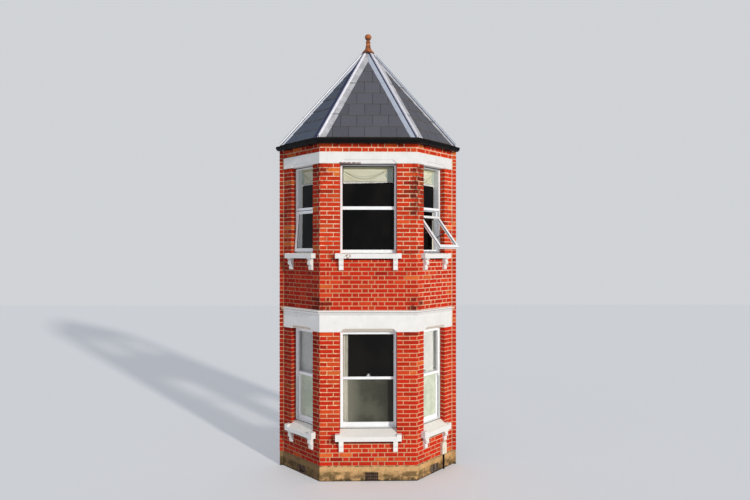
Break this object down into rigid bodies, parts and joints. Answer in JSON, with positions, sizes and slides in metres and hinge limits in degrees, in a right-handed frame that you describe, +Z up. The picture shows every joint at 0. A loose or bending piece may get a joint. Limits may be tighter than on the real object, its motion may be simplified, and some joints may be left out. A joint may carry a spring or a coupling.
{
  "type": "bay window",
  "caption": "Tall canted brick bay over both floors of a house, with sash and casement windows, stone bands and sills and a steep slated roof.",
  "frame": {"origin": "on the ground in the plane of the house wall, on the bay's centre line", "axes": "+X along the wall, to the right as seen from the street; +Y into the house; +Z up"},
  "size_m": [3.4224, 0.9253, 8.0133],
  "materials": {
    "brick": "matte",
    "render": "matte",
    "clay": "matte",
    "white_stone": "satin",
    "white_joinery": "satin",
    "clear_glass": "gloss",
    "slate": "matte",
    "lead": "matte",
    "terracotta": "matte",
    "black_iron": "satin",
    "timber": "matte",
    "plaster": "matte",
    "cream_fabric": "matte",
    "grey_plastic": "matte",
    "black_plastic": "matte"
  },
  "bodies": {
    "root": {"plinth_front": "render", "plinth_sides": "render", "airbricks": "clay", "lower_wall_front": "brick", "lower_wall_sides": "brick", "lower_corner_piers": "brick", "lower_end_piers": "brick", "lower_sills": "white_stone", "lower_brackets": "white_stone", "lower_frames": "white_joinery", "top_sashes": "white_joinery", "bottom_sashes": "white_joinery", "sash_catches": "white_joinery", "lower_glass": "clear_glass", "cornice_front": "white_stone", "cornice_sides": "white_stone", "upper_wall_front": "brick", "upper_wall_sides": "brick", "upper_corner_piers": "brick", "upper_end_piers": "brick", "upper_sills": "white_stone", "upper_brackets": "white_stone", "upper_frames": "white_joinery", "casements": "white_joinery", "upper_glass": "clear_glass", "lintel_front": "white_stone", "lintel_sides": "white_stone", "eaves_wall_front": "brick", "eaves_wall_sides": "brick", "roof_front": "slate", "roof_sides": "slate", "roof_timbers": "timber", "hip_leads": "lead", "finial": "terracotta", "fascia_boards": "timber", "gutter": "black_iron", "gutter_brackets": "black_iron", "sleeper_wall": "brick", "ground_floor": "timber", "first_floor": "timber", "ceiling": "plaster", "beams": "timber", "window_boards": "white_joinery", "blinds": "cream_fabric", "curtains": "cream_fabric", "service_box": "grey_plastic", "conduit": "black_plastic"}
  },
  "joints": []
}
